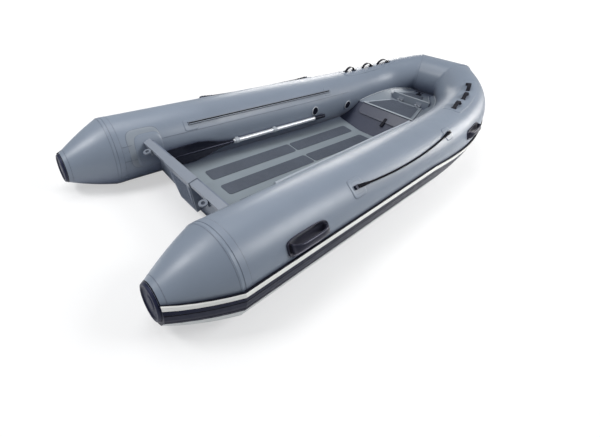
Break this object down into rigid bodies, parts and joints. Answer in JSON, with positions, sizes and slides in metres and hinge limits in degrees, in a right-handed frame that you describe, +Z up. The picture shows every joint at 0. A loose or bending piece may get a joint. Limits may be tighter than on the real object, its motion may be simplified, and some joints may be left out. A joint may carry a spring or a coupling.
{
  "type": "rigid inflatable boat",
  "caption": "Rigid-hulled inflatable boat, 3.8 m, afloat: V hull, round air tubes, raked transom, hinged bow locker and oars.",
  "frame": {"origin": "on the centreline and on the waterline, 31 mm aft of the transom's top edge", "axes": "+X forward to the bow, +Y to port, +Z up"},
  "size_m": [3.8569, 1.874, 0.7736],
  "materials": {
    "tube_fabric": "satin",
    "hull_grey": "satin",
    "cap_grey": "satin",
    "trim_grey": "satin",
    "dark_plate": "matte",
    "grip_pad": "matte",
    "strake_rubber": "satin",
    "dark_rubber": "satin",
    "black_rubber": "satin",
    "rope_black": "matte",
    "webbing": "matte",
    "aluminium": "satin",
    "steel": "satin"
  },
  "bodies": {
    "boat": {"hull": "hull_grey", "transom": "hull_grey", "transom_cap": "cap_grey", "motor_pad": "cap_grey", "motor_plate": "dark_plate", "towing_eyes": "steel", "floor_pads": "grip_pad", "tube_port": "tube_fabric", "tube_starboard": "tube_fabric", "tube_bow": "tube_fabric", "cone_port": "tube_fabric", "cone_starboard": "tube_fabric", "end_cap_port": "dark_rubber", "end_cap_starboard": "dark_rubber", "strake_port": "strake_rubber", "strake_starboard": "strake_rubber", "strake_bow": "strake_rubber", "locker_bulkhead": "hull_grey", "bow_deck": "hull_grey", "bow_step": "hull_grey", "lid_hinges": "steel", "step_pad": "grip_pad", "bow_cleat": "black_rubber", "seat_rail_port": "trim_grey", "seat_rail_starboard": "trim_grey", "lifeline_port": "rope_black", "lifeline_starboard": "rope_black", "lifeline_anchors": "trim_grey", "grab_loops_port": "webbing", "grab_loops_starboard": "webbing", "carry_handles_port": "black_rubber", "carry_handles_starboard": "black_rubber", "valves": "black_rubber", "oar_blade_port": "black_rubber", "oar_blade_starboard": "black_rubber", "oar_shafts": "aluminium", "oar_grips": "black_rubber", "oar_clips": "trim_grey", "bow_eye": "steel"},
    "locker_lid_body": {"locker_lid": "hull_grey", "lid_pad": "grip_pad", "lid_latch": "black_rubber"}
  },
  "joints": [
    {"name": "locker_lid_hinge", "type": "hinge", "parent": "boat", "child": "locker_lid_body", "pos_m": [2.798, 0, 0.2893], "axis": [0, 1, 0], "range_deg": [0, 95]}
  ]
}
